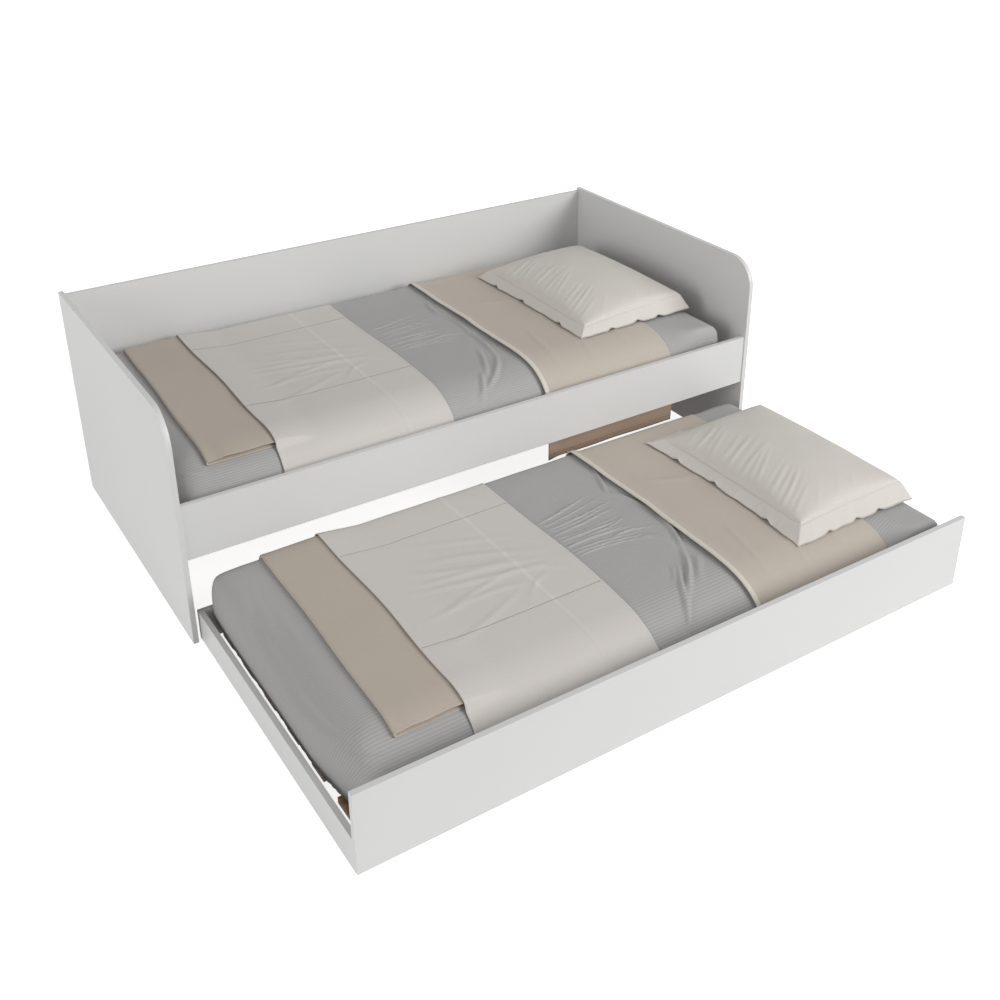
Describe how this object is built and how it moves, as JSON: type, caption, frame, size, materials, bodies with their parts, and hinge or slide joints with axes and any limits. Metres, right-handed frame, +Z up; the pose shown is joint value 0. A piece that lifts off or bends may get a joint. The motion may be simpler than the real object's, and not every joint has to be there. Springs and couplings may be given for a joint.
{
  "type": "trundle bed",
  "caption": "White board daybed with a low pull-out trundle on wheels, both made up with mattresses, ribbed sheets, folded covers and flanged pillows.",
  "frame": {"origin": "middle of the floor rectangle that the bed covers with its trundle pulled out, on the floor", "axes": "+X along the bed from the foot end to the pillow end, +Y from the pulled-out trundle's front to the back panel, +Z up"},
  "size_m": [1.965, 1.912, 0.695],
  "materials": {
    "white_board": "satin",
    "pine": "matte",
    "beech_dowel": "matte",
    "bearer_steel": "satin",
    "bracket_steel": "satin",
    "zinc_steel": "satin",
    "zinc_nut": "satin",
    "nylon": "matte",
    "wheel_nylon": "satin",
    "buffer_rubber": "matte",
    "mattress_ticking": "matte",
    "ribbed_sheet": "matte",
    "satin_blanket": "satin",
    "coverlet_cotton": "matte",
    "throw_cotton": "matte",
    "pillow_linen": "matte"
  },
  "bodies": {
    "bed_frame": {"left_end_panel": "white_board", "right_end_panel": "white_board", "back_panel": "white_board", "front_rail": "white_board", "rear_stretcher": "white_board", "floor_glides": "nylon", "frame_cam_nuts": "zinc_nut", "frame_cam_bolts": "zinc_steel", "frame_dowel_pins": "beech_dowel", "stop_buffers": "buffer_rubber", "front_bearer_tube": "bearer_steel", "back_bearer_tube": "bearer_steel", "bearer_brackets": "bracket_steel", "bearer_bracket_screws": "zinc_steel", "upper_slat_1": "pine", "upper_slat_2": "pine", "upper_slat_3": "pine", "upper_slat_4": "pine", "upper_slat_5": "pine", "upper_slat_6": "pine", "upper_slat_7": "pine", "upper_slat_8": "pine", "upper_slat_9": "pine", "upper_slat_screws": "zinc_steel", "upper_mattress": "mattress_ticking", "upper_fitted_sheet": "ribbed_sheet", "upper_foot_blanket": "satin_blanket", "upper_coverlet": "coverlet_cotton", "upper_throw": "throw_cotton", "upper_pillow": "pillow_linen"},
    "trundle": {"trundle_front_panel": "white_board", "trundle_left_rail": "white_board", "trundle_right_rail": "white_board", "trundle_back_rail": "white_board", "trundle_cam_nuts": "zinc_nut", "trundle_cam_bolts": "zinc_steel", "trundle_dowel_pins": "beech_dowel", "left_cross_bearer": "pine", "middle_cross_bearer": "pine", "right_cross_bearer": "pine", "trundle_slat_1": "pine", "trundle_slat_2": "pine", "trundle_slat_3": "pine", "trundle_slat_4": "pine", "trundle_slat_5": "pine", "trundle_slat_6": "pine", "trundle_slat_screws": "zinc_steel", "wheel_brackets": "bracket_steel", "wheel_bracket_screws": "zinc_steel", "wheel_axles": "zinc_steel", "trundle_mattress": "mattress_ticking", "trundle_fitted_sheet": "ribbed_sheet", "trundle_foot_blanket": "satin_blanket", "trundle_coverlet": "coverlet_cotton", "trundle_throw": "throw_cotton", "trundle_pillow": "pillow_linen"},
    "left_front_wheel": {"left_front_wheel": "wheel_nylon"},
    "right_front_wheel": {"right_front_wheel": "wheel_nylon"},
    "left_back_wheel": {"left_back_wheel": "wheel_nylon"},
    "right_back_wheel": {"right_back_wheel": "wheel_nylon"}
  },
  "joints": [
    {"name": "trundle_slide", "type": "slide", "parent": "bed_frame", "child": "trundle", "axis": [0, 1, 0], "range_m": [0, 0.941], "deforming": ["upper_throw", "trundle_pillow"]},
    {"name": "left_front_wheel_roll", "type": "hinge", "parent": "trundle", "child": "left_front_wheel", "pos_m": [-0.7025, -0.92, 0.018], "axis": [1, 0, 0], "continuous": true},
    {"name": "right_front_wheel_roll", "type": "hinge", "parent": "trundle", "child": "right_front_wheel", "pos_m": [0.7025, -0.92, 0.018], "axis": [1, 0, 0], "continuous": true},
    {"name": "left_back_wheel_roll", "type": "hinge", "parent": "trundle", "child": "left_back_wheel", "pos_m": [-0.7025, -0.0391, 0.018], "axis": [1, 0, 0], "continuous": true},
    {"name": "right_back_wheel_roll", "type": "hinge", "parent": "trundle", "child": "right_back_wheel", "pos_m": [0.7025, -0.0391, 0.018], "axis": [1, 0, 0], "continuous": true}
  ],
  "couplings": [
    {"joint": "left_front_wheel_roll", "follows": "trundle_slide", "rad_per_m": -55.556},
    {"joint": "right_front_wheel_roll", "follows": "trundle_slide", "rad_per_m": -55.556},
    {"joint": "left_back_wheel_roll", "follows": "trundle_slide", "rad_per_m": -55.556},
    {"joint": "right_back_wheel_roll", "follows": "trundle_slide", "rad_per_m": -55.556}
  ]
}
